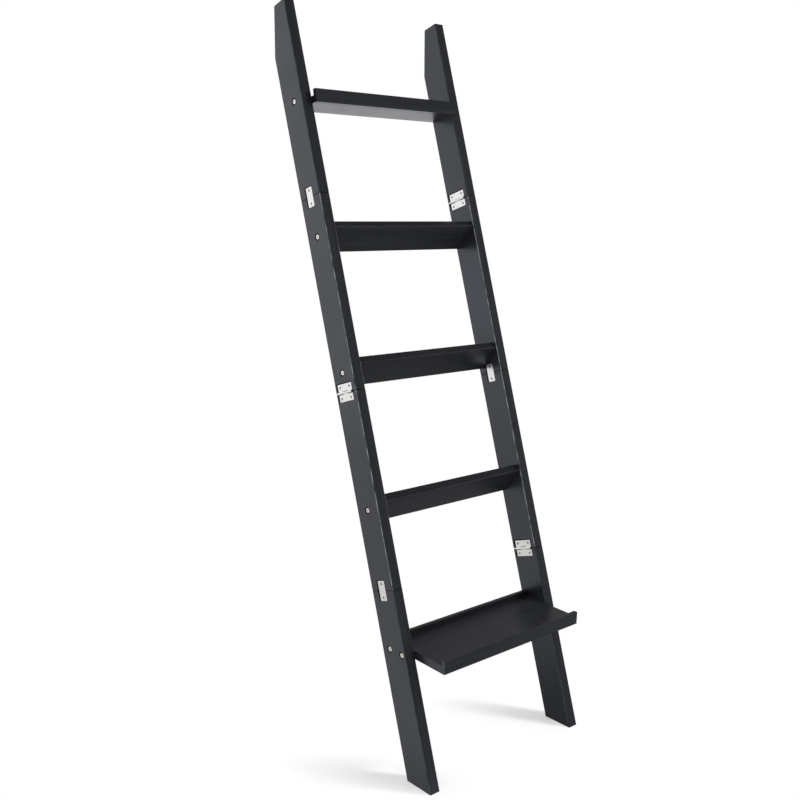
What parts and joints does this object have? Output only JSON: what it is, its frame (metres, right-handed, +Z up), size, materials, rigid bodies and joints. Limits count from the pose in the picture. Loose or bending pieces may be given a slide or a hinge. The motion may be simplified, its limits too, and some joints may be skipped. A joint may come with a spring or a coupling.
{
  "type": "blanket ladder",
  "caption": "Leaning blanket ladder with hinged and strapped rail boards, tilted flat hanging rungs, a narrow lipped top tray and a deep lipped bottom tray.",
  "frame": {"origin": "centre of the footprint's bounding box on the floor, in the leaning position of use", "axes": "+Z up, +Y to the wall, +X to the right as seen by someone who faces the ladder; the front looks to -Y"},
  "size_m": [0.4846, 0.5556, 1.6858],
  "materials": {
    "painted_wood": "satin black paint over solid wood, faint grain",
    "dowel_wood": "bare fluted hardwood dowel, matte",
    "bolt_brass": "satin pale brass plating",
    "insert_steel": "zinc plated, hidden",
    "screw_steel": "bright zinc plating",
    "strap_steel": "bright zinc plating, satin",
    "pin_steel": "bright zinc plating",
    "hinge_steel": "bright zinc plating, satin"
  },
  "bodies": {
    "root": {"bottom_tray_back_lip": "painted_wood", "bottom_tray_board": "painted_wood", "bottom_tray_front_lip": "painted_wood", "hinge_screws": "screw_steel", "left_bottom_hinge_lower_leaf": "hinge_steel", "left_bottom_hinge_pin": "pin_steel", "left_bottom_hinge_upper_leaf": "hinge_steel", "left_bottom_strap_plate": "strap_steel", "left_middle_hinge_lower_leaf": "hinge_steel", "left_middle_hinge_pin": "pin_steel", "left_middle_hinge_upper_leaf": "hinge_steel", "left_middle_strap_plate": "strap_steel", "left_rail_foot_section": "painted_wood", "left_rail_lower_section": "painted_wood", "left_rail_top_section": "painted_wood", "left_rail_upper_section": "painted_wood", "left_top_hinge_lower_leaf": "hinge_steel", "left_top_hinge_pin": "pin_steel", "left_top_hinge_upper_leaf": "hinge_steel", "left_top_strap_plate": "strap_steel", "lip_dowels": "dowel_wood", "locating_dowels": "dowel_wood", "lower_rung": "painted_wood", "middle_rung": "painted_wood", "rail_bolts": "bolt_brass", "right_bottom_hinge_lower_leaf": "hinge_steel", "right_bottom_hinge_pin": "pin_steel", "right_bottom_hinge_upper_leaf": "hinge_steel", "right_bottom_strap_plate": "strap_steel", "right_middle_hinge_lower_leaf": "hinge_steel", "right_middle_hinge_pin": "pin_steel", "right_middle_hinge_upper_leaf": "hinge_steel", "right_middle_strap_plate": "strap_steel", "right_rail_foot_section": "painted_wood", "right_rail_lower_section": "painted_wood", "right_rail_top_section": "painted_wood", "right_rail_upper_section": "painted_wood", "right_top_hinge_lower_leaf": "hinge_steel", "right_top_hinge_pin": "pin_steel", "right_top_hinge_upper_leaf": "hinge_steel", "right_top_strap_plate": "strap_steel", "strap_screws": "screw_steel", "threaded_inserts": "insert_steel", "top_tray_board": "painted_wood", "top_tray_front_lip": "painted_wood", "upper_rung": "painted_wood"}
  },
  "joints": []
}
